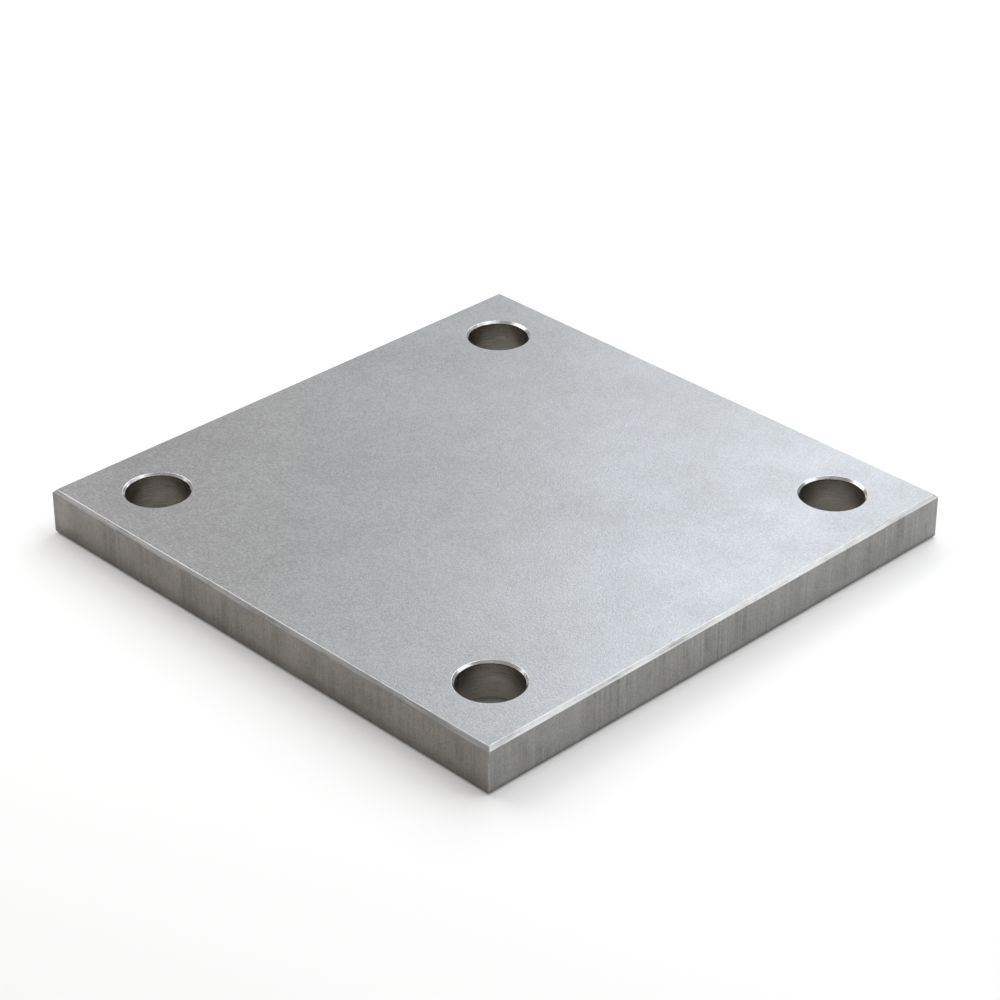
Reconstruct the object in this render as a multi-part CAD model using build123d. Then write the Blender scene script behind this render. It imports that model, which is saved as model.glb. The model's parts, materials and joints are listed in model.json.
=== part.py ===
"""Square foundation template plate, cut from flat steel, with one bolt hole near each corner.

Millimetres, with +Z up. The origin is the centre of the underside.
"""

from build123d import *
import os

# Plate
SIDE = 250.0
THICKNESS = 20.0

# Bolt holes
HOLE_RADIUS = 13.0
EDGE_DISTANCE = 30.0

# The underside of each hole is opened to lead the bolt in
HOLE_TOP_CHAMFER = 1.0
HOLE_LEAD_IN = 4.0
LEAD_IN_ROUND = 0.5

# Broken edges
TOP_CHAMFER = 1.5
BOTTOM_CHAMFER = 1.0
CORNER_RADIUS = 0.6

ON_BASE = (Align.CENTER, Align.CENTER, Align.MIN)
HOLE_SPACING = SIDE - 2 * EDGE_DISTANCE


def plate_blank() -> Part:
    """Make the square blank with its corners rounded and its top and bottom edges chamfered.

    Returns:
        The blank without holes, standing on the origin.
    """
    rounded = Box(SIDE, SIDE, THICKNESS, align=ON_BASE)
    rounded = fillet(rounded.edges().filter_by(Axis.Z), CORNER_RADIUS)
    bevelled = Box(SIDE, SIDE, THICKNESS, align=ON_BASE)
    bevelled = chamfer(bevelled.edges().group_by(Axis.Z)[-1], TOP_CHAMFER)
    bevelled = chamfer(bevelled.edges().group_by(Axis.Z)[0], BOTTOM_CHAMFER)
    return rounded & bevelled


def hole_cutter() -> Part:
    """Make the solid that one bolt hole takes away, with its top chamfer and its lead-in.

    Returns:
        The cutter, standing on the origin.
    """
    bore = Cylinder(HOLE_RADIUS, THICKNESS, align=ON_BASE)
    top_mouth = Cone(HOLE_RADIUS, HOLE_RADIUS + HOLE_TOP_CHAMFER, HOLE_TOP_CHAMFER, align=ON_BASE)
    lead_in = Cone(HOLE_RADIUS + HOLE_LEAD_IN, HOLE_RADIUS, HOLE_LEAD_IN, align=ON_BASE)
    return bore + Pos(Z=THICKNESS - HOLE_TOP_CHAMFER) * top_mouth + lead_in


def template_plate() -> Part:
    """Make the finished plate: the blank with a bolt hole near each corner.

    Returns:
        The plate as one solid, with the lower lip of each lead-in rounded.
    """
    plate = plate_blank()
    cutter = hole_cutter()
    for place in GridLocations(HOLE_SPACING, HOLE_SPACING, 2, 2):
        plate -= place * cutter
    rings = plate.edges().filter_by(GeomType.CIRCLE).group_by(Axis.Z)[0]
    return fillet(ShapeList(ring for ring in rings if ring.radius > HOLE_RADIUS), LEAD_IN_ROUND)


os.makedirs("parts", exist_ok=True)
export_step(template_plate(), "parts/template_plate.step")
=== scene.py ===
"""The looks of a foundation template plate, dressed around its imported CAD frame.

Metres, in the frame of the CAD part: +Z up, with the origin at the centre of the underside.
Azimuths follow the frame: 0 looks along +Y, and 45 stands over the corner at +X, -Y.
"""

import json
import logging
import math
from dataclasses import dataclass
from enum import Enum
from functools import partial

import bpy
import numpy as np
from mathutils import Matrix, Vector
from mathutils.geometry import delaunay_2d_cdt


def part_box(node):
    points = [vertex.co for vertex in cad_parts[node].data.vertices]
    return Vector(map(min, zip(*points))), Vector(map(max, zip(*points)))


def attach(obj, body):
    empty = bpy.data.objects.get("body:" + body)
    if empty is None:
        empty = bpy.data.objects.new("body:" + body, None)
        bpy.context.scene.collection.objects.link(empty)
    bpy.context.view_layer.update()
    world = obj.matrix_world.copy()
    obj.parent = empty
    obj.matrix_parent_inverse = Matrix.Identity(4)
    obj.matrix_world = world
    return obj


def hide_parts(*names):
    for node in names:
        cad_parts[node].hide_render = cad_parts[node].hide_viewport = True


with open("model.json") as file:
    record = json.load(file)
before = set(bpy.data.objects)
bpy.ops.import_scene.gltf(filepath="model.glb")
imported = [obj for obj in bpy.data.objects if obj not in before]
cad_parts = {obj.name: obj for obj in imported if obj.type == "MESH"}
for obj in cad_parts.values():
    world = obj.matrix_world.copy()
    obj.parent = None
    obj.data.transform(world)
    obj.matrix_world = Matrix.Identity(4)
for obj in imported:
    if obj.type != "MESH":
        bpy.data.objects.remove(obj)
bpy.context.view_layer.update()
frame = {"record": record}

LOG = logging.getLogger("template_plate")
NODE = "template_plate"
BODY = "root"
MM = 0.001

MIDDLE = 0.5  # the average of every pattern in the finishes
WANDER_WAVES = 24
ROUNDING = (0.0, 1 / 3, 2 / 3, 1.0)  # where a rounded corner's rings lie, from its start to its end
PLAIN = (0.0, 0.0, 0.0, 0.0)  # no wear, painted highlight, dark pit or painted shade on any of those rings
# a bright line on the middle rings: edge wear, partly a painted highlight
RUBBED_AND_SHINING = (0.0, 1.0, 1.0, 0.0)
INSIDE_OUTLINE = 1  # the triangulation's option that leaves out what lies outside the outline
WELD = 1e-5  # millimetres within which the triangulation joins points
IN_HOLE = 0.999  # share of a hole's radius within which a triangle's centre lies in the hole

Socket = bpy.types.NodeSocket
Feed = Socket | float | tuple[float, ...]
Inputs = dict[str | int, Feed]
Colour = tuple[float, float, float]
Amount = np.ndarray | float


class Region(Enum):
    """The plate's surfaces, each with its own finish. The value is the place in the material list."""

    GROUND = 0
    SAWN = 1
    # the sides that face ±Y: the sawn finish painted darker and warmer, as painted shade
    SHADED_SAWN = 2
    CHAMFER = 3
    MOUTH = 4
    BORE = 5


Band = Region | list[Region]


class Mark(Enum):
    """Values kept on the mesh's points for the finishes to read."""

    # how bright a point is painted: edge wear, partly a painted highlight, and a painted highlight down the
    # upright corners
    EDGE = "worn_and_highlit_edge"
    # how dark a point is painted: in pits, and as painted shade along edges and at the foot
    PITS_AND_SHADE = "dark_pits_and_painted_shade"


def direction(azimuth: float, elevation: float) -> Vector:
    """Give the unit vector from the plate towards a place in the studio.

    Args:
        azimuth: Degrees, as the module's docstring says.
        elevation: Degrees above the floor.

    Returns:
        The unit vector.
    """
    turn, rise = math.radians(azimuth), math.radians(elevation)
    return Vector((math.sin(turn) * math.cos(rise), -math.cos(turn) * math.cos(rise), math.sin(rise)))


def wander(count: int, waves: int, rng: np.random.Generator) -> np.ndarray:
    """Make a smooth random curve that closes on itself.

    Args:
        count: How many values it has.
        waves: The finest wave, in cycles for the whole curve.
        rng: Seeded source of chance.

    Returns:
        Values that lie mostly between -1 and 1.
    """
    turn = np.linspace(0.0, math.tau, count, endpoint=False)
    cycles = rng.integers(1, waves + 1, size=WANDER_WAVES)
    phases = rng.uniform(0.0, math.tau, size=WANDER_WAVES)
    return np.cos(turn[:, None] * cycles + phases).sum(axis=1) / math.sqrt(WANDER_WAVES)


def soften(before: np.ndarray, corner: np.ndarray, after: np.ndarray, cut: float) -> list[np.ndarray]:
    """Round one corner of many profiles at once.

    Args:
        before: Points on the line that comes to the corner, one row a profile.
        corner: The corners.
        after: Points on the line that leaves.
        cut: Distance from the corner at which the rounding starts and ends.

    Returns:
        One row of points for each place in ROUNDING.
    """
    start = corner + (before - corner) * (cut / np.linalg.norm(before - corner, axis=1))[:, None]
    end = corner + (after - corner) * (cut / np.linalg.norm(after - corner, axis=1))[:, None]
    return [start * (1 - t) ** 2 + corner * 2 * t * (1 - t) + end * t**2 for t in ROUNDING]


def level_ring(count: int, across: Amount, height: Amount) -> np.ndarray:
    """Give a ring's profile points, each a distance across and a height."""
    return np.column_stack([np.broadcast_to(across, count), np.broadcast_to(height, count)])


def put_in_scene(name: str, data: bpy.types.ID) -> bpy.types.Object:
    """Make an object and put it in the scene.

    Args:
        name: The object's name.
        data: Its mesh, light or camera.

    Returns:
        The object.
    """
    made = bpy.data.objects.new(name, data)
    bpy.context.scene.collection.objects.link(made)
    return made


def stand(made: bpy.types.Object, azimuth: float, elevation: float, distance: float, target: Vector) -> None:
    """Place a light or a camera so that it looks at a point.

    Args:
        made: The light or camera.
        azimuth: Degrees, as the module's docstring says.
        elevation: Degrees above the floor.
        distance: How far from the point it stands.
        target: The point.
    """
    aim = direction(azimuth, elevation)
    made.location = target + aim * distance
    made.rotation_euler = aim.to_track_quat("Z", "Y").to_euler()


@dataclass
class PlateSizes:
    """Real sizes of the plate, read from the frame where it states them."""

    half_side: float
    thickness: float
    hole_radius: float
    hole_places: list[tuple[float, float]]
    top_chamfer: float = 1.5 * MM
    bottom_chamfer: float = 1.0 * MM
    corner_radius: float = 0.6 * MM
    mouth_chamfer: float = 1.0 * MM
    lead_in: float = 4.0 * MM
    lead_in_round: float = 0.5 * MM

    @classmethod
    def from_frame(cls, record: dict) -> "PlateSizes":
        """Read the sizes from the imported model.

        Args:
            record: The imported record.

        Returns:
            The plate's sizes.
        """
        low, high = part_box(NODE)
        bores = [m for m in record["mounts"] if m["kind"] == "bore"]
        return cls(
            half_side=(high.x - low.x) / 2,
            thickness=high.z - low.z,
            hole_radius=bores[0]["dims"]["r_mm"] * MM,
            hole_places=[(m["pos_m"][0], m["pos_m"][1]) for m in bores],
        )


class MeshBook:
    """Collects the points and faces of one closed mesh."""

    def __init__(self) -> None:
        """Start an empty mesh."""
        self.points: list[np.ndarray] = []
        self.count = 0
        self.faces: list[tuple[int, ...]] = []
        self.regions: list[int] = []
        self.marks: dict[Mark, list[np.ndarray]] = {mark: [] for mark in Mark}

    def add(self, points: np.ndarray, edge: Amount = 0.0, dark_pits_and_shade: Amount = 0.0) -> np.ndarray:
        """Add points.

        Args:
            points: One row of x, y and z a point.
            edge: How much these points lie on a bright edge, 0 to 1: edge wear, partly a painted highlight.
            dark_pits_and_shade: How dark these points are painted, 0 to 1: in pits, and as painted shade
                along some edges and at the foot.

        Returns:
            The points' numbers in the mesh.
        """
        self.points.append(points)
        self.marks[Mark.EDGE].append(np.broadcast_to(edge, len(points)))
        self.marks[Mark.PITS_AND_SHADE].append(np.broadcast_to(dark_pits_and_shade, len(points)))
        numbers = np.arange(self.count, self.count + len(points))
        self.count += len(points)
        return numbers

    def bridge(self, lower: np.ndarray, upper: np.ndarray, band: Band) -> None:
        """Join two closed rings of as many points with a band of quads.

        Args:
            lower: Numbers of the first ring, anticlockwise seen from the side that faces out.
            upper: Numbers of the second ring.
            band: The finish of the band, or of each quad in it.
        """
        following_low, following_up = np.roll(lower, -1), np.roll(upper, -1)
        for quad in zip(lower, following_low, following_up, upper):
            self.faces.append(tuple(int(i) for i in quad))
        regions = [band] * len(lower) if isinstance(band, Region) else band
        self.regions += [region.value for region in regions]

    def stack(self, rings: list[np.ndarray], bands: list[Band]) -> None:
        """Join a pile of rings, each to the next.

        Args:
            rings: Numbers of each ring's points.
            bands: The finish of each band, one fewer than the rings.
        """
        for lower, upper, band in zip(rings, rings[1:], bands):
            self.bridge(lower, upper, band)

    def cap(self, outer: np.ndarray, holes: list[np.ndarray], inner: np.ndarray, up: bool) -> None:
        """Fill a flat face between its outline and its holes with triangles.

        Args:
            outer: Numbers of the outline's points, in order.
            holes: Numbers of each hole's points, in order.
            inner: Numbers of loose points on the face that the triangles take in.
            up: True if the face looks up.
        """
        points = np.concatenate(self.points)
        numbers = np.concatenate([outer, *holes, inner])
        flat = [Vector((points[i][0] / MM, points[i][1] / MM)) for i in numbers]
        edges, start = [], 0
        for loop in (outer, *holes):
            size = len(loop)
            edges += [(start + i, start + (i + 1) % size) for i in range(size)]
            start += size
        made = delaunay_2d_cdt(flat, edges, [], INSIDE_OUTLINE, WELD)
        back = [numbers[origin[0]] for origin in made[3]]
        middles = [(points[hole].mean(axis=0)[:2], points[hole]) for hole in holes]
        for triangle in made[2]:
            corners = [back[i] for i in triangle]
            centre = points[corners].mean(axis=0)[:2]
            if any(np.linalg.norm(centre - middle) < np.linalg.norm(rim[0][:2] - middle) * IN_HOLE
                   for middle, rim in middles):
                continue
            a, b, c = points[corners][:, :2]
            anticlockwise = (b[0] - a[0]) * (c[1] - a[1]) - (b[1] - a[1]) * (c[0] - a[0]) > 0
            self.faces.append(tuple(int(i) for i in (corners if anticlockwise == up else corners[::-1])))
            self.regions.append(Region.GROUND.value)

    def piece(self, name: str) -> bpy.types.Object:
        """Turn what was collected into an object in the scene.

        Args:
            name: The object's name.

        Returns:
            The object, smooth shaded, with its marks as point attributes.
        """
        mesh = bpy.data.meshes.new(name)
        mesh.from_pydata(np.concatenate(self.points).tolist(), [], self.faces)
        mesh.polygons.foreach_set("material_index", self.regions)
        mesh.shade_smooth()
        for mark, values in self.marks.items():
            layer = mesh.attributes.new(mark.value, "FLOAT", "POINT")
            layer.data.foreach_set("value", np.concatenate(values).astype(np.float32))
        mesh.validate()
        return put_in_scene(name, mesh)


@dataclass
class Rim:
    """The plate's outside: underside chamfer, sawn wall and top chamfer, as rings around the square."""

    sizes: PlateSizes
    column_pitch: float = 1.0 * MM
    corner_steps: int = 5
    wall_rows: int = 9
    edge_cut: float = 0.12 * MM
    rubbed_cut: float = 0.10 * MM
    foot_cut: float = 0.30 * MM
    saw_depth: float = 0.012 * MM
    hand_wobble: float = 0.012 * MM
    nick_count: int = 9
    nick_depth: float = 0.12 * MM
    nick_shares: tuple[float, float] = (0.3, 1.0)
    nick_columns: tuple[float, float] = (0.6, 1.8)
    top_waves: int = 160
    foot_waves: int = 120
    saw_waves: int = 480
    drift_waves: int = 200
    sawn_fade: float = 0.3
    saw_middle: float = 0.5
    saw_share: float = 0.35
    saw_even: float = 0.6
    drift_share: float = 0.15
    # painted highlight: a bright line down the upright corners, carried in the same mark as the edge wear
    corner_shine: float = 0.35
    # painted shade: the underside chamfer and the foot of the wall are dark as contact shade, and a dark line
    # runs along the lower edge of the top chamfer
    foot_painted_shade: float = 0.8
    low_painted_shade: float = 0.4
    edge_painted_shade: float = 0.7
    seed: int = 11

    def columns(self) -> tuple[np.ndarray, np.ndarray]:
        """Lay out the upright columns of points around the rounded square.

        Returns:
            The columns' places on the square inside the corner rounding, and their outward directions.
        """
        reach = self.sizes.half_side - self.sizes.corner_radius
        count = round(2 * reach / self.column_pitch)
        along = np.linspace(-reach, reach, count, endpoint=False)
        turns = np.linspace(-math.pi / 2, 0.0, self.corner_steps, endpoint=False)
        straight = np.column_stack([along, np.full(count, -reach)])
        corner = np.tile([reach, -reach], (self.corner_steps, 1))
        places = np.concatenate([straight, corner])
        facing = np.tile([0.0, -1.0], (count, 1))
        facing = np.concatenate([facing, np.column_stack([np.cos(turns), np.sin(turns)])])
        quarter = np.array([[0.0, 1.0], [-1.0, 0.0]])
        spins = [np.linalg.matrix_power(quarter, side) for side in range(4)]
        return np.concatenate([places @ s for s in spins]), np.concatenate([facing @ s for s in spins])

    def top_cut(self, count: int, rng: np.random.Generator) -> np.ndarray:
        """Give the top chamfer's size round the rim, a little uneven and with small nicks.

        Args:
            count: How many columns the rim has.
            rng: Seeded source of chance.

        Returns:
            The size at each column.
        """
        cut = self.sizes.top_chamfer + self.hand_wobble * wander(count, self.top_waves, rng)
        spots = rng.uniform(0, count, self.nick_count)
        widths = rng.uniform(*self.nick_columns, self.nick_count)
        depths = self.nick_depth * rng.uniform(*self.nick_shares, self.nick_count)
        for spot, width, depth in zip(spots, widths, depths):
            away = np.abs((np.arange(count) - spot + count / 2) % count - count / 2)
            cut += depth * np.exp(-((away / width) ** 2))
        return cut

    def profile(self, upper: np.ndarray, lower: np.ndarray) -> list[np.ndarray]:
        """Lay out the rim's rings from the underside to the top face.

        Args:
            upper: The top chamfer's size at each column.
            lower: The lower chamfer's size at each column.

        Returns:
            For each ring, the distance in from the sides and the height at each column.
        """
        s = self.sizes
        row = partial(level_ring, len(upper))
        feet = [row(lower * 2, 0.0), row(lower, 0.0), row(0.0, lower)]
        heads = [row(0.0, s.thickness - upper), row(upper, s.thickness), row(upper * 2, s.thickness)]
        wall = [row(0.0, lower + (s.thickness - upper - lower) * (i + 1) / (self.wall_rows + 1))
                for i in range(self.wall_rows)]
        rows = soften(*feet, self.foot_cut)
        rows += soften(feet[1], feet[2], wall[0], self.foot_cut)
        rows += wall
        rows += soften(wall[-1], heads[0], heads[1], self.edge_cut)
        rows += [(heads[0] + heads[1]) / 2]
        rows += soften(*heads, self.rubbed_cut)
        return rows

    def build(self, book: MeshBook) -> tuple[np.ndarray, np.ndarray]:
        """Add the rim to the mesh.

        Args:
            book: The mesh that takes it.

        Returns:
            The numbers of the rings that bound the underside and the top face.
        """
        s, rng = self.sizes, np.random.default_rng(self.seed)
        places, facing = self.columns()
        count = len(places)
        reach = s.half_side - s.corner_radius
        upper = self.top_cut(count, rng)
        lower = s.bottom_chamfer + self.hand_wobble * wander(count, self.foot_waves, rng)
        saw = wander(count, self.saw_waves, rng)
        drift = wander(count, self.drift_waves, rng)
        rows = self.profile(upper, lower)
        clean = [0.0] * self.wall_rows
        worn_and_shining = [*PLAIN, *PLAIN, *clean, *PLAIN, 0.0, *RUBBED_AND_SHINING]
        # painted shade on the rings at the foot and at the lower edge of the top chamfer
        foot = [0.0, *[self.foot_painted_shade] * (2 * len(ROUNDING) - 2), self.low_painted_shade]
        dark = [*foot, *clean, 0.0, self.edge_painted_shade, self.edge_painted_shade, 0.0, 0.0, *PLAIN]
        # painted highlight down the upright corners
        corner_line = self.corner_shine * np.abs(2.0 * facing[:, 0] * facing[:, 1])
        # the sides that face ±Y take the darker, warmer copy of the sawn finish: painted shade
        sides = [Region.SHADED_SAWN if abs(y) > abs(x) else Region.SAWN for x, y in facing]
        bands: list[Band] = [sides] * (2 * len(ROUNDING) + self.wall_rows)
        bands += [Region.CHAMFER] * (len(rows) - 1 - len(bands))
        rings = []
        for points, wear_and_shine, dark_pits_and_shade in zip(rows, worn_and_shining, dark):
            inset, height = points[:, 0], points[:, 1]
            sawn = np.clip(1.0 - inset / (self.sawn_fade * s.top_chamfer), 0.0, 1.0)
            level = np.sin(math.pi * height / s.thickness)
            swing = self.saw_share * saw * (self.saw_even + (1.0 - self.saw_even) * level)
            cut = self.saw_depth * sawn * (self.saw_middle + swing + self.drift_share * drift)
            flat = places * ((reach - inset) / reach)[:, None]
            flat = flat + facing * (s.corner_radius - np.maximum(cut, 0.0))[:, None]
            shine = np.maximum(wear_and_shine, corner_line)
            rings.append(book.add(np.column_stack([flat, height]), edge=shine, dark_pits_and_shade=dark_pits_and_shade))
        book.stack(rings, bands)
        return rings[0], rings[-1]


@dataclass
class BoltHole:
    """One drilled hole with a turned chamfer at its upper mouth and a lead-in at the lower one."""

    sizes: PlateSizes
    place: tuple[float, float]
    number: int
    steps: int = 128
    wall_rows: int = 24
    groove_rows: int = 7
    edge_cut: float = 0.10 * MM
    groove_depth: float = 0.012 * MM
    feed_depth: float = 0.010 * MM
    off_centre: float = 0.05 * MM
    mouth_wobble: float = 0.2
    mouth_waves: int = 12
    lip_wear: float = 0.4
    # painted shade at the bore's ends
    thin_painted_shade: float = 0.4
    first_seed: int = 100

    def build(self, book: MeshBook) -> tuple[np.ndarray, np.ndarray]:
        """Add the hole's wall and mouths to the mesh.

        Args:
            book: The mesh that takes it.

        Returns:
            The numbers of the rings that bound the hole on the underside and on the top face.
        """
        s, rng = self.sizes, np.random.default_rng(self.first_seed + self.number)
        row = partial(level_ring, self.steps)
        turn = np.linspace(0.0, math.tau, self.steps, endpoint=False)
        lean = self.off_centre * np.cos(turn - rng.uniform(0.0, math.tau))
        uneven = self.mouth_wobble * self.off_centre * wander(self.steps, self.mouth_waves, rng)
        mouth = s.mouth_chamfer + lean + uneven
        bore = s.hole_radius
        head = s.thickness
        top = [row(bore + mouth * 2, head), row(bore + mouth, head), row(bore, head - mouth)]
        foot = [row(bore, s.lead_in), row(bore + s.lead_in, 0.0), row(bore + s.lead_in * 2, 0.0)]
        shares = np.linspace(0.0, 1.0, self.groove_rows + 2)[1:-1]
        grooves = [top[1] * (1 - t) + top[2] * t + row(self.groove_depth * (-1) ** i, 0.0)
                   for i, t in enumerate(shares)]
        levels = np.linspace(0.0, 1.0, self.wall_rows + 2)[1:-1]
        wall = [top[2] * (1 - t) + foot[0] * t + row(self.feed_depth * rng.uniform(0.0, 1.0), 0.0)
                for t in levels]
        rows = soften(*top, self.edge_cut) + grooves
        rows += soften(top[1], top[2], wall[0], self.edge_cut) + wall
        rows += soften(wall[-1], foot[0], foot[1], self.edge_cut)
        rows += soften(*foot, s.lead_in_round * math.tan(math.pi / 8))
        clean, smooth = [0.0] * self.wall_rows, [0.0] * self.groove_rows
        worn_and_shining = [*RUBBED_AND_SHINING, *smooth, *PLAIN, *clean, *PLAIN, 0.0, self.lip_wear, self.lip_wear, 0.0]
        # painted shade: dark lines where the mouth chamfer meets the bore and where the bore meets the
        # lead-in, the lower one standing in for the shadow under the lip
        dark = [*PLAIN, *smooth, 0.0, 1.0, 1.0, self.thin_painted_shade]
        dark += [*clean, self.thin_painted_shade, 1.0, 1.0, self.thin_painted_shade, *PLAIN]
        bands: list[Band] = [Region.MOUTH] * (len(ROUNDING) + 1 + self.groove_rows)
        bands += [Region.BORE] * (len(ROUNDING) + 1 + self.wall_rows)
        bands += [Region.MOUTH] * (len(rows) - 1 - len(bands))
        rings = []
        for points, wear_and_shine, dark_pits_and_shade in zip(rows, worn_and_shining, dark):
            radius, height = points[:, 0], points[:, 1]
            x = self.place[0] + radius * np.cos(turn)
            y = self.place[1] + radius * np.sin(turn)
            rings.append(book.add(np.column_stack([x, y, height]), edge=wear_and_shine, dark_pits_and_shade=dark_pits_and_shade))
        book.stack(rings, bands)
        return rings[-1], rings[0]


@dataclass
class FlatFace:
    """A ground face: loose points that spread its triangles evenly, and small pits."""

    sizes: PlateSizes
    height: float
    up: bool
    pit_count: int
    seed: int
    spacing: float = 7.0 * MM
    margin: float = 4.0 * MM
    pit_sides: int = 7
    pit_radius: float = 0.30 * MM
    pit_depth: float = 0.06 * MM
    pit_shares: tuple[float, float] = (0.4, 1.0)
    pit_rarity: float = 1.5
    pit_uneven: tuple[float, float] = (0.7, 1.2)
    pit_floor: float = 0.5
    pit_gap: float = 4.0
    grid_gap: float = 3.0

    def clear(self, x: float, y: float) -> bool:
        """Tell whether a point lies well inside the face.

        Args:
            x: Its place along X.
            y: Its place along Y.

        Returns:
            True if it is at least the margin from every edge and hole.
        """
        s = self.sizes
        rim = s.half_side - s.top_chamfer - self.margin
        mouth = s.hole_radius + (s.mouth_chamfer if self.up else s.lead_in) + self.margin
        inside = abs(x) < rim and abs(y) < rim
        return inside and all(math.hypot(x - a, y - b) > mouth for a, b in s.hole_places)

    def build(self, book: MeshBook, outer: np.ndarray, holes: list[np.ndarray]) -> None:
        """Add the face to the mesh.

        Args:
            book: The mesh that takes it.
            outer: Numbers of the outline's points.
            holes: Numbers of each hole's points.
        """
        rng = np.random.default_rng(self.seed)
        reach = self.sizes.half_side
        inward = -1.0 if self.up else 1.0
        loose: list[np.ndarray] = []
        taken: list[tuple[float, float]] = []
        while len(taken) < self.pit_count:
            x, y = rng.uniform(-reach, reach, 2)
            size = self.pit_radius * rng.uniform(*self.pit_shares) ** self.pit_rarity
            near = any(math.hypot(x - a, y - b) < self.pit_gap * self.pit_radius for a, b in taken)
            if near or not self.clear(x, y):
                continue
            taken.append((x, y))
            turn = np.linspace(0.0, math.tau, self.pit_sides, endpoint=False) + rng.uniform(0.0, 1.0)
            radii = size * rng.uniform(*self.pit_uneven, self.pit_sides)
            rim = np.column_stack([x + radii * np.cos(turn), y + radii * np.sin(turn)])
            loose.append(book.add(np.column_stack([rim, np.full(self.pit_sides, self.height)])))
            inner = np.array([x, y]) + (rim - np.array([x, y])) * self.pit_floor
            deep = self.height + inward * self.pit_depth * size / self.pit_radius
            loose.append(book.add(np.column_stack([inner, np.full(self.pit_sides, deep)]), dark_pits_and_shade=1.0))
            loose.append(book.add(np.array([[x, y, deep]]), dark_pits_and_shade=1.0))
        steps = np.arange(-reach, reach, self.spacing)
        grid = [(x + (i % 2) * self.spacing / 2, y) for i, y in enumerate(steps) for x in steps]
        gap = self.grid_gap * self.pit_radius
        kept = [(x, y, self.height) for x, y in grid
                if self.clear(x, y) and all(math.hypot(x - a, y - b) > gap for a, b in taken)]
        loose.append(book.add(np.array(kept)))
        book.cap(outer, holes, np.concatenate(loose), self.up)


class Wiring:
    """Adds nodes to one node tree and joins them."""

    def __init__(self, tree: bpy.types.NodeTree) -> None:
        """Work on a tree.

        Args:
            tree: The node tree.
        """
        self.tree = tree

    def feed(self, socket: Socket, value: Feed) -> None:
        """Join a socket to another one, or set its value.

        Args:
            socket: The input.
            value: An output socket, a number or a colour.
        """
        if isinstance(value, Socket):
            self.tree.links.new(value, socket)
        elif isinstance(value, tuple) and socket.type == "RGBA":
            socket.default_value = (*value, 1.0)
        else:
            socket.default_value = value

    def node(self, kind: str, inputs: Inputs | None = None, **settings: object) -> bpy.types.Node:
        """Add a node.

        Args:
            kind: The node's class.
            inputs: What feeds each named or numbered input.
            **settings: The node's own options.

        Returns:
            The node.
        """
        made = self.tree.nodes.new(kind)
        for name, value in settings.items():
            setattr(made, name, value)
        for name, value in (inputs or {}).items():
            self.feed(made.inputs[name], value)
        return made

    def calc(self, operation: str, *values: Feed, clamp: bool = False) -> Socket:
        """Add a Math node.

        Args:
            operation: Its operation.
            *values: What feeds its inputs, in order.
            clamp: True to keep the result between 0 and 1.

        Returns:
            Its result.
        """
        feeds = dict(enumerate(values))
        return self.node("ShaderNodeMath", feeds, operation=operation, use_clamp=clamp).outputs[0]

    def spread(self, value: Feed, low: Feed, high: Feed, start: Feed = 0.0, end: Feed = 1.0) -> Socket:
        """Map a range of values onto another.

        Args:
            value: What is mapped.
            low: The value that gives start.
            high: The value that gives end.
            start: Result at low and below.
            end: Result at high and above.

        Returns:
            The mapped value.
        """
        feeds = {"Value": value, "From Min": low, "From Max": high, "To Min": start, "To Max": end}
        return self.node("ShaderNodeMapRange", feeds).outputs["Result"]

    def product(self, first: Feed, second: Feed) -> Socket:
        """Multiply two values."""
        return self.calc("MULTIPLY", first, second)

    def off_middle(self, pattern: Feed) -> Socket:
        """Give how far a pattern is from its average."""
        return self.calc("SUBTRACT", pattern, MIDDLE)

    def noise(self, vector: Feed, scale: Feed, detail: float = 2.0, distortion: float = 0.0) -> Socket:
        """Add a noise texture.

        Args:
            vector: Where it is read.
            scale: Its waves for each metre.
            detail: Its octaves.
            distortion: How much it curls.

        Returns:
            Its value, about 0.5 on average.
        """
        feeds = {"Vector": vector, "Scale": scale, "Detail": detail, "Distortion": distortion}
        return self.node("ShaderNodeTexNoise", feeds).outputs[0]

    def mix(self, factor: Feed, first: Feed, second: Feed) -> Socket:
        """Mix two colours.

        Args:
            factor: Share of the second.
            first: The first colour.
            second: The second colour.

        Returns:
            The mixed colour.
        """
        mixer = self.node("ShaderNodeMix", {0: factor, 6: first, 7: second}, data_type="RGBA")
        return mixer.outputs[2]

    def sway(self, *parts: tuple[Socket, Feed]) -> Socket:
        """Add up patterns, each of which moves the result away from the middle.

        Args:
            *parts: Each pattern, 0.5 on average, and its share.

        Returns:
            The sum.
        """
        total: Feed = MIDDLE
        for pattern, share in parts:
            total = self.calc("MULTIPLY_ADD", self.off_middle(pattern), share, total)
        return total

    def place(self) -> Socket:
        """Give the point's place on the plate, in metres."""
        return self.node("ShaderNodeTexCoord").outputs["Object"]

    def split(self, vector: Feed) -> tuple[Socket, ...]:
        """Give a vector's three parts."""
        return tuple(self.node("ShaderNodeSeparateXYZ", {"Vector": vector}).outputs)

    def join(self, x: Feed, y: Feed, z: Feed) -> Socket:
        """Make a vector of three parts."""
        return self.node("ShaderNodeCombineXYZ", {"X": x, "Y": y, "Z": z}).outputs[0]

    def mark(self, mark: Mark) -> Socket:
        """Give one of the values kept on the mesh's points."""
        return self.node("ShaderNodeAttribute", attribute_name=mark.value).outputs["Fac"]

    def effect(self, group: bpy.types.NodeTree, inputs: Inputs) -> bpy.types.Node:
        """Place a shared effect."""
        return self.node("ShaderNodeGroup", inputs, node_tree=group)


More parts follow.
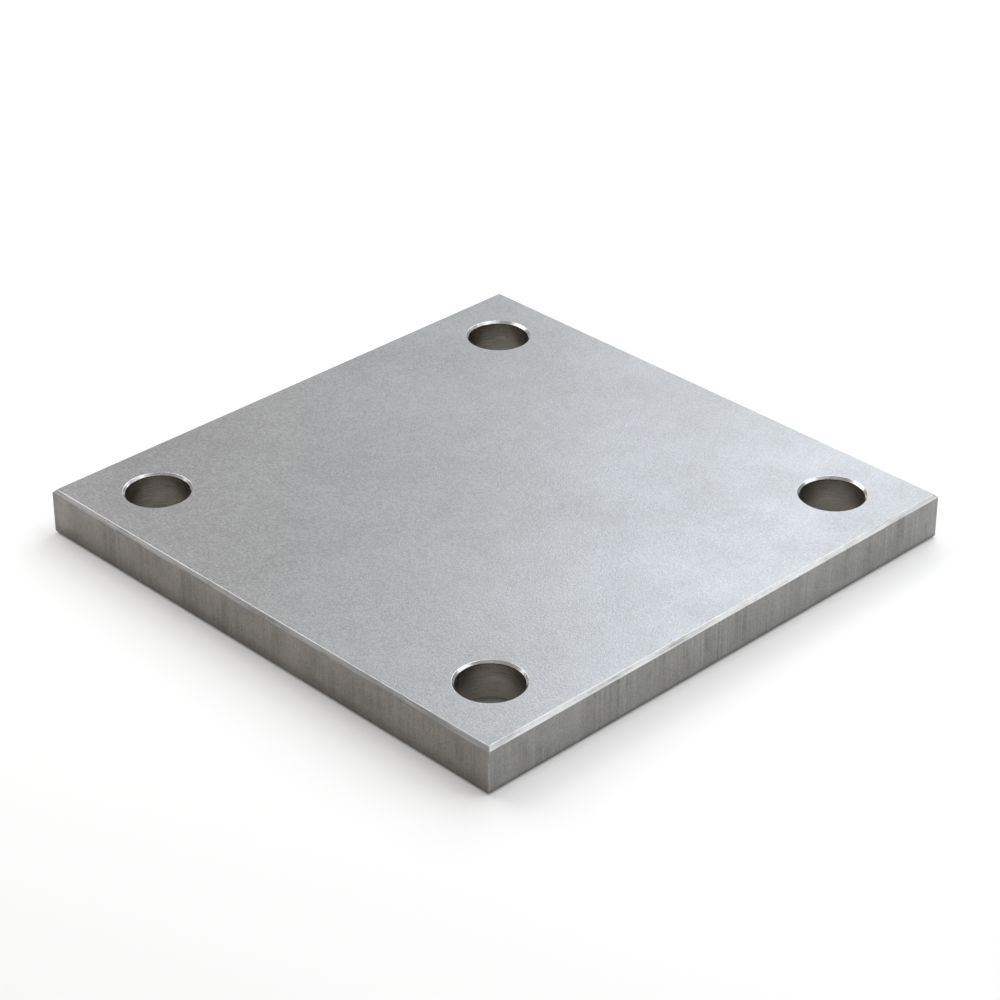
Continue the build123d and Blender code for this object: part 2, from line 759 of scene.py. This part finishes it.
class GroupWiring(Wiring):
    """Adds nodes to a new group, whose outputs are all plain values."""

    VALUE = "NodeSocketFloat"
    VECTOR = "NodeSocketVector"

    def __init__(self, name: str, inputs: dict[str, str], outputs: list[str]) -> None:
        """Make the empty group.

        Args:
            name: The group's name.
            inputs: Its inputs' names and socket types.
            outputs: Its outputs' names.
        """
        group = bpy.data.node_groups.new(name, "ShaderNodeTree")
        for label, kind in inputs.items():
            group.interface.new_socket(name=label, in_out="INPUT", socket_type=kind)
        for label in outputs:
            group.interface.new_socket(name=label, in_out="OUTPUT", socket_type=self.VALUE)
        super().__init__(group)
        self.given = dict(zip(inputs, self.node("NodeGroupInput").outputs))
        self.results = self.node("NodeGroupOutput").inputs

    def give(self, **results: Socket) -> bpy.types.NodeTree:
        """Finish the group.

        Args:
            **results: What feeds each output, by its name.

        Returns:
            The group.
        """
        for label, value in results.items():
            self.feed(self.results[label], value)
        return self.tree


@dataclass(frozen=True)
class SoftClouds:
    """Soft uneven patches, from 0 to 1, as handling and grinding leave them."""

    detail: float = 3.0
    wide_curl: float = 0.6
    fine_curl: float = 0.3
    fine_scale: float = 4.3
    wide_share: float = 0.65
    fine_share: float = 0.35
    reach: tuple[float, float] = (0.3, 0.7)

    def build(self) -> bpy.types.NodeTree:
        """Make the effect.

        Returns:
            Its node group.
        """
        w = GroupWiring(
            "soft_clouds", {"Vector": GroupWiring.VECTOR, "Scale": GroupWiring.VALUE}, ["Patches"]
        )
        vector, scale = w.given["Vector"], w.given["Scale"]
        wide = w.noise(vector, scale, self.detail, self.wide_curl)
        fine = w.noise(vector, w.product(scale, self.fine_scale), self.detail, self.fine_curl)
        both = w.calc("ADD", w.product(wide, self.wide_share), w.product(fine, self.fine_share))
        return w.give(Patches=w.spread(both, *self.reach))


@dataclass(frozen=True)
class CurlingGrain:
    """The short curling marks of an orbital sander, as light and dark threads, and a finer speckle."""

    detail: float = 1.0
    curl: float = 1.2
    dark_scale: float = 1.31
    broken_scale: float = 1.7
    light_breaks: tuple[float, float] = (0.35, 0.55)
    dark_breaks: tuple[float, float] = (0.45, 0.65)
    thread_height: float = 0.5
    speckle_scale: float = 3.4
    speckle_detail: float = 2.0
    speckle_reach: tuple[float, float] = (0.3, 0.7)

    @staticmethod
    def line(w: GroupWiring, pattern: Socket) -> Socket:
        """Draw a line where a pattern crosses its average."""
        return w.spread(w.calc("ABSOLUTE", w.off_middle(pattern)), 0.0, w.given["Width"], 1.0, 0.0)

    def build(self) -> bpy.types.NodeTree:
        """Make the effect.

        Returns:
            Its node group.
        """
        w = GroupWiring(
            "curling_grain",
            {"Vector": GroupWiring.VECTOR, "Scale": GroupWiring.VALUE, "Width": GroupWiring.VALUE},
            ["Threads", "Speckle"],
        )
        vector, scale = w.given["Vector"], w.given["Scale"]
        light = w.noise(vector, scale, self.detail, self.curl)
        dark = w.noise(vector, w.product(scale, self.dark_scale), self.detail, self.curl)
        broken = w.noise(vector, w.product(scale, self.broken_scale), self.detail)
        light_thread = w.product(self.line(w, light), w.spread(broken, *self.light_breaks))
        dark_thread = w.product(self.line(w, dark), w.spread(broken, *self.dark_breaks, 1.0, 0.0))
        apart = w.calc("SUBTRACT", light_thread, dark_thread)
        threads = w.calc("MULTIPLY_ADD", apart, self.thread_height, MIDDLE)
        speckle = w.noise(vector, w.product(scale, self.speckle_scale), self.speckle_detail)
        return w.give(Threads=threads, Speckle=w.spread(speckle, *self.speckle_reach))


@dataclass(frozen=True)
class DrawnLines:
    """Fine drawn lines and broader bands, as a saw, a belt or a turning tool leaves them."""

    fine_detail: float = 3.0
    fine_reach: tuple[float, float] = (0.25, 0.75)
    band_across: float = 0.13
    band_along: float = 0.5
    band_depth: float = 7.0
    band_detail: float = 2.0
    band_reach: tuple[float, float] = (0.3, 0.7)

    def build(self) -> bpy.types.NodeTree:
        """Make the effect.

        Returns:
            Its node group.
        """
        w = GroupWiring(
            "drawn_lines", dict.fromkeys(("Across", "Along", "Pitch", "Reach"), GroupWiring.VALUE),
            ["Lines", "Bands"],
        )
        across = w.calc("DIVIDE", w.given["Across"], w.given["Pitch"])
        along = w.calc("DIVIDE", w.given["Along"], w.given["Reach"])
        fine = w.noise(w.join(across, along, 0.0), 1.0, self.fine_detail)
        wide_across, wide_along = w.product(across, self.band_across), w.product(along, self.band_along)
        broad = w.noise(w.join(wide_across, wide_along, self.band_depth), 1.0, self.band_detail)
        return w.give(Lines=w.spread(fine, *self.fine_reach), Bands=w.spread(broad, *self.band_reach))


@dataclass(frozen=True)
class EdgeWearAndHighlight:
    """The bright line on rubbed edges and upright corners, broken up unevenly: edge wear, partly a painted
    highlight.
    """

    scale: float = 260.0
    detail: float = 3.0
    reach: tuple[float, float] = (0.3, 0.62)
    least: float = 0.35

    def build(self) -> bpy.types.NodeTree:
        """Make the effect.

        Returns:
            Its node group.
        """
        w = GroupWiring(
            "edge_wear_and_highlight", {"Vector": GroupWiring.VECTOR, "Amount": GroupWiring.VALUE}, ["Worn"]
        )
        pattern = w.noise(w.given["Vector"], self.scale, self.detail)
        uneven = w.spread(pattern, *self.reach, self.least, 1.0)
        edge = w.product(w.mark(Mark.EDGE), uneven)
        return w.give(Worn=w.calc("MULTIPLY", edge, w.given["Amount"], clamp=True))


class Effects:
    """The node groups that several finishes share, each built once."""

    def __init__(self) -> None:
        """Build every group."""
        self.clouds = SoftClouds().build()
        self.curls = CurlingGrain().build()
        self.lines = DrawnLines().build()
        self.wear_and_shine = EdgeWearAndHighlight().build()


@dataclass(frozen=True)
class Finish:
    """What every bare steel finish has."""

    name: str
    colour: Colour
    shade: Colour
    # colour of worn edges and of painted highlights on edges and corners
    worn_and_shining: Colour
    roughness: float
    metallic: float = 1.0
    wear_and_shine: float = 0.8
    # colour of dark pits and of painted shade
    dark_pits_and_shade: Colour = (0.05, 0.047, 0.043)
    roughness_swing: float = 0.05
    bump: float = 0.4
    relief: float = 0.03 * MM

    def material(self) -> tuple[bpy.types.Material, Wiring, bpy.types.Node]:
        """Start the material.

        Returns:
            The material, its wiring and its shader node.
        """
        made = bpy.data.materials.new(self.name)
        made.use_nodes = True
        made.node_tree.nodes.clear()
        wiring = Wiring(made.node_tree)
        shader = wiring.node("ShaderNodeBsdfPrincipled", {"Metallic": self.metallic})
        wiring.node("ShaderNodeOutputMaterial", {"Surface": shader.outputs[0]})
        return made, wiring, shader

    def colouring(self, w: Wiring, effects: Effects, shader: bpy.types.Node, light: Feed, place: Feed,
                  dark_pits_and_shade: Feed, clean: Feed) -> None:
        """Feed the shader's colour: shade and colour by a mask, brighter on worn edges and painted
        highlights, dark in pits and painted shade.

        Args:
            w: The material's wiring.
            effects: The shared groups.
            shader: The shader node.
            light: Mask, 0 for the shade and 1 for the colour.
            place: The point's place.
            dark_pits_and_shade: Mask, 1 where the steel is darkest: in pits, and where shade is painted on.
            clean: The colour where the mask is 1.
        """
        bare = w.mix(light, self.shade, clean)
        worn_and_shining = w.effect(effects.wear_and_shine, {"Vector": place, "Amount": self.wear_and_shine}).outputs["Worn"]
        bright = w.mix(worn_and_shining, bare, self.worn_and_shining)
        w.feed(shader.inputs["Base Color"], w.mix(dark_pits_and_shade, bright, self.dark_pits_and_shade))

    def texture(self, w: Wiring, shader: bpy.types.Node, polish: Feed, height: Feed) -> None:
        """Feed the shader's roughness and bump.

        Args:
            w: The material's wiring.
            shader: The shader node.
            polish: Mask, 0 where the steel is dullest and 1 where it is glossiest.
            height: The height of the fine relief.
        """
        swing = self.roughness_swing
        roughness = w.spread(polish, 0.0, 1.0, self.roughness + swing, self.roughness - swing)
        w.feed(shader.inputs["Roughness"], roughness)
        bump = w.node(
            "ShaderNodeBump", {"Strength": self.bump, "Distance": self.relief, "Height": height}
        )
        w.feed(shader.inputs["Normal"], bump.outputs[0])


@dataclass(frozen=True)
class GroundFinish(Finish):
    """Top and underside: sanded steel with a fine curling grain and clouds, painted darker and more neutral
    towards one end and lighter and bluer towards the other, as painted shade and painted light.

    The light ramp's two numbers are metres along X and Y added up: fully painted shade below the first, fully
    painted light above the second.
    """

    # painted shade and painted light in a ramp along the face
    shaded_end_colour: Colour = (0.452, 0.452, 0.451)
    light_ramp_share: float = 0.30
    cloud_scale: float = 22.0
    cloud_share: float = 0.25
    grain_scale: float = 540.0
    grain_width: float = 0.12
    thread_share: float = 0.32
    shaded_end_thread_share: float = 0.3
    speckle_share: float = 0.35
    speckle_height: float = 0.5
    light_ramp: tuple[float, float] = (-0.19, 0.07)
    roughness_swing: float = 0.03
    bump: float = 0.5
    relief: float = 0.075 * MM

    def build(self, effects: Effects) -> bpy.types.Material:
        """Make the material.

        Args:
            effects: The shared groups.

        Returns:
            The material.
        """
        made, w, shader = self.material()
        place = w.place()
        patches = w.effect(effects.clouds, {"Vector": place, "Scale": self.cloud_scale}).outputs["Patches"]
        grain = w.effect(
            effects.curls, {"Vector": place, "Scale": self.grain_scale, "Width": self.grain_width}
        )
        threads, speckle = grain.outputs["Threads"], grain.outputs["Speckle"]
        x, y, _ = w.split(place)
        # painted light ramp: 0 at the end painted in shade, 1 at the end painted lighter
        lit_share = w.spread(w.calc("ADD", x, y), *self.light_ramp)
        shaded_end_threads = w.product(w.off_middle(threads), w.calc("SUBTRACT", 1.0, lit_share))
        light = w.sway(
            (lit_share, self.light_ramp_share), (patches, self.cloud_share),
            (w.calc("ADD", shaded_end_threads, MIDDLE), self.shaded_end_thread_share),
            (threads, self.thread_share), (speckle, self.speckle_share),
        )
        # the colour runs from neutral at the shaded end to bluer at the lit end: painted cool light
        clean = w.mix(lit_share, self.shaded_end_colour, self.colour)
        self.colouring(w, effects, shader, light, place, w.mark(Mark.PITS_AND_SHADE), clean)
        self.texture(w, shader, patches, w.calc("ADD", threads, w.product(speckle, self.speckle_height)))
        return made


@dataclass(frozen=True)
class LinedFinish(Finish):
    """A surface with drawn lines, stronger in some places than in others."""

    upright: bool = False
    pitch: float = 0.4 * MM
    reach: float = 12.0 * MM
    line_share: float = 0.5
    band_share: float = 0.2
    blotch_share: float = 0.3
    speckle_share: float = 0.2
    blotch_scale: float = 60.0
    speckle_scale: float = 430.0
    speckle_width: float = 0.1
    line_patches: tuple[float, float] = (0.25, 0.75)
    # darker towards the foot of the wall, up to the given height: painted contact shade
    bottom_painted_shade: float = 0.0
    bottom_shade_height: float = 7.0 * MM

    def build(self, effects: Effects) -> bpy.types.Material:
        """Make the material.

        Args:
            effects: The shared groups.

        Returns:
            The material.
        """
        made, w, shader = self.material()
        place = w.place()
        x, y, z = w.split(place)
        sideways = w.calc("ADD", x, y)
        across, along = (sideways, z) if self.upright else (z, sideways)
        drawn = w.effect(
            effects.lines, {"Across": across, "Along": along, "Pitch": self.pitch, "Reach": self.reach}
        )
        lines, bands = drawn.outputs["Lines"], drawn.outputs["Bands"]
        patches = w.effect(effects.clouds, {"Vector": place, "Scale": self.blotch_scale}).outputs["Patches"]
        grain = w.effect(
            effects.curls, {"Vector": place, "Scale": self.speckle_scale, "Width": self.speckle_width}
        )
        strength = w.spread(patches, *self.line_patches, 2.0 * self.line_share, 0.0)
        light = w.sway(
            (lines, strength), (bands, self.band_share),
            (patches, self.blotch_share), (grain.outputs["Speckle"], self.speckle_share),
        )
        dark_pits_and_shade = w.mark(Mark.PITS_AND_SHADE)
        # painted contact shade: darker towards the foot of the wall
        if self.bottom_painted_shade:
            dark_pits_and_shade = w.calc("MAXIMUM", dark_pits_and_shade, w.spread(z, 0.0, self.bottom_shade_height, self.bottom_painted_shade, 0.0))
        self.colouring(w, effects, shader, light, place, dark_pits_and_shade, self.colour)
        self.texture(w, shader, bands, lines)
        return made


GROUND = GroundFinish(
    "ground_steel", (0.440, 0.460, 0.488), (0.263, 0.262, 0.261), (0.60, 0.61, 0.62), roughness=0.42
)
SAWN = LinedFinish(
    "sawn_steel", (0.392, 0.389, 0.380), (0.152, 0.150, 0.146), (0.50, 0.49, 0.47), roughness=0.43,
    metallic=0.9, upright=True, pitch=1.2 * MM, reach=45.0 * MM, line_share=0.30, band_share=0.15,
    blotch_share=0.25, speckle_share=0.35, relief=0.012 * MM, bottom_painted_shade=0.5, bottom_shade_height=2.0 * MM,
)
# The sawn finish again, darker and warmer than on the sides that face ±X, for the sides that face ±Y: painted
# shade
SHADED_SAWN = LinedFinish(
    "shaded_sawn_steel", (0.320, 0.298, 0.273), (0.124, 0.114, 0.104), (0.50, 0.49, 0.47),
    roughness=0.43, metallic=0.9, upright=True, pitch=1.3 * MM, reach=40.0 * MM, line_share=0.22,
    band_share=0.15, blotch_share=0.3, speckle_share=0.35, relief=0.010 * MM, bottom_painted_shade=0.5,
)
CHAMFER = LinedFinish(
    "brushed_chamfer_steel", (0.630, 0.624, 0.614), (0.27, 0.267, 0.262), (0.76, 0.765, 0.77), roughness=0.32,
    pitch=0.9 * MM, reach=22.0 * MM, line_share=0.55, wear_and_shine=0.9,
)
MOUTH = LinedFinish(
    "turned_mouth_steel", (0.84, 0.83, 0.82), (0.42, 0.41, 0.40), (0.78, 0.78, 0.78), roughness=0.25,
    pitch=0.28 * MM, reach=6.0 * MM,
)
BORE = LinedFinish(
    "bored_steel", (0.44, 0.405, 0.36), (0.168, 0.153, 0.136), (0.40, 0.38, 0.36), roughness=0.30,
    pitch=0.7 * MM, reach=14.0 * MM, line_share=0.25, band_share=0.1, blotch_share=0.3,
)


@dataclass
class DressedPlate:
    """The whole plate as one piece of steel."""

    sizes: PlateSizes
    top_pits: int = 130
    top_seed: int = 5
    underside_pits: int = 40
    underside_seed: int = 6

    def mesh(self) -> bpy.types.Object:
        """Build the closed mesh.

        Returns:
            The plate's object, without materials.
        """
        book = MeshBook()
        foot, head = Rim(self.sizes).build(book)
        rings = [BoltHole(self.sizes, place, i).build(book) for i, place in enumerate(self.sizes.hole_places)]
        top = FlatFace(self.sizes, self.sizes.thickness, True, self.top_pits, self.top_seed)
        top.build(book, head, [upper for _, upper in rings])
        underside = FlatFace(self.sizes, 0.0, False, self.underside_pits, self.underside_seed)
        underside.build(book, foot, [lower for lower, _ in rings])
        return book.piece("plate")

    def dress(self, piece: bpy.types.Object) -> None:
        """Give each region its finish, and flat faces their true shading.

        Args:
            piece: The plate's object.
        """
        effects = Effects()
        finishes = {
            Region.GROUND: GROUND,
            Region.SAWN: SAWN,
            Region.SHADED_SAWN: SHADED_SAWN,
            Region.CHAMFER: CHAMFER,
            Region.MOUTH: MOUTH,
            Region.BORE: BORE,
        }
        for region in Region:
            piece.data.materials.append(finishes[region].build(effects))
        shading = piece.modifiers.new("flat faces stay flat", "WEIGHTED_NORMAL")
        shading.keep_sharp = False

    def build(self) -> bpy.types.Object:
        """Build, dress and mount the plate on its body.

        Returns:
            The plate's object.
        """
        piece = self.mesh()
        self.dress(piece)
        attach(piece, BODY)
        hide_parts(NODE)
        return piece


COOL: Colour = (0.96, 0.982, 1.0)


@dataclass(frozen=True)
class Softbox:
    """A square area light that looks at the plate."""

    name: str
    azimuth: float
    elevation: float
    distance: float
    side: float
    power: float
    colour: Colour = (1.0, 1.0, 1.0)

    def build(self) -> bpy.types.Object:
        """Hang the light.

        Returns:
            The light's object.
        """
        lamp = bpy.data.lights.new(self.name, "AREA")
        lamp.size = self.side
        lamp.energy = self.power
        lamp.color = self.colour
        made = put_in_scene(self.name, lamp)
        stand(made, self.azimuth, self.elevation, self.distance, Vector((0.0, 0.0, 0.0)))
        return made


@dataclass
class Studio:
    """A plain pale floor under soft light."""

    floor_side: float = 14.0
    floor_drop: float = 0.05 * MM
    floor_colour: Colour = (0.945, 0.937, 0.928)
    floor_roughness: float = 0.9
    sky_colour: Colour = (1.0, 1.0, 1.0)
    sky_strength: float = 0.375
    softboxes: tuple[Softbox, ...] = (
        Softbox("front_softbox", 45.0, 22.0, 1.8, 1.2, 8.8),
        Softbox("right_softbox", 127.0, 27.0, 0.9, 0.6, 1.70, COOL),
        Softbox("high_right_softbox", 135.0, 72.0, 0.9, 0.6, 1.97, COOL),
        Softbox("back_right_softbox", 195.0, 45.0, 0.9, 0.6, 2.57, COOL),
        Softbox("back_softbox", 225.0, 22.0, 1.8, 1.2, 3.3),
        Softbox("left_softbox", 285.0, 45.0, 0.9, 0.6, 2.79),
    )

    def floor(self) -> bpy.types.Object:
        """Lay the floor just under the plate.

        Returns:
            The floor's object.
        """
        reach = self.floor_side / 2
        corners = [(-reach, -reach), (reach, -reach), (reach, reach), (-reach, reach)]
        mesh = bpy.data.meshes.new("studio_floor")
        mesh.from_pydata([(x, y, -self.floor_drop) for x, y in corners], [], [(0, 1, 2, 3)])
        paint = bpy.data.materials.new("studio_paper")
        paint.use_nodes = True
        shader = paint.node_tree.nodes["Principled BSDF"]
        shader.inputs["Base Color"].default_value = (*self.floor_colour, 1.0)
        shader.inputs["Roughness"].default_value = self.floor_roughness
        shader.inputs["Specular IOR Level"].default_value = 0.0
        mesh.materials.append(paint)
        made = put_in_scene("studio_floor", mesh)
        return made

    def sky(self) -> None:
        """Light the room evenly from all around."""
        world = bpy.data.worlds.new("studio_room")
        world.use_nodes = True
        room = world.node_tree.nodes["Background"]
        room.inputs["Color"].default_value = (*self.sky_colour, 1.0)
        room.inputs["Strength"].default_value = self.sky_strength
        bpy.context.scene.world = world

    def build(self) -> None:
        """Set up floor, sky and lights, and a plain view of their colours."""
        self.floor()
        self.sky()
        for softbox in self.softboxes:
            softbox.build()
        bpy.context.scene.view_settings.view_transform = "Standard"


@dataclass(frozen=True)
class PhotoCamera:
    """The camera at the photograph's viewing angle."""

    azimuth: float = 45.6
    elevation: float = 30.68
    distance: float = 1.2371
    target: tuple[float, float, float] = (-0.01796, 0.02053, 0.0)
    focal_px: float = 3021.7
    image_px: float = 1000.0
    sensor: float = 36.0
    nearest: float = 0.01

    def build(self) -> bpy.types.Object:
        """Place the camera.

        Returns:
            The camera's object.
        """
        lens = bpy.data.cameras.new("photo_camera")
        lens.sensor_width = self.sensor
        lens.lens = self.focal_px / self.image_px * self.sensor
        lens.clip_start = self.nearest
        made = put_in_scene("photo_camera", lens)
        stand(made, self.azimuth, self.elevation, self.distance, Vector(self.target))
        bpy.context.scene.camera = made
        return made


def main() -> None:
    """Build the plate, the studio and the camera, and log the plate's counts of points and faces."""
    logging.basicConfig(level=logging.INFO, format="%(name)s: %(message)s")
    sizes = PlateSizes.from_frame(frame["record"])
    plate = DressedPlate(sizes).build()
    LOG.info("%s: %d points, %d faces", plate.name, len(plate.data.vertices), len(plate.data.polygons))
    Studio().build()
    LOG.info("studio: floor, sky and softboxes")
    PhotoCamera().build()
    LOG.info("camera in place")


if __name__ == "__main__":
    main()
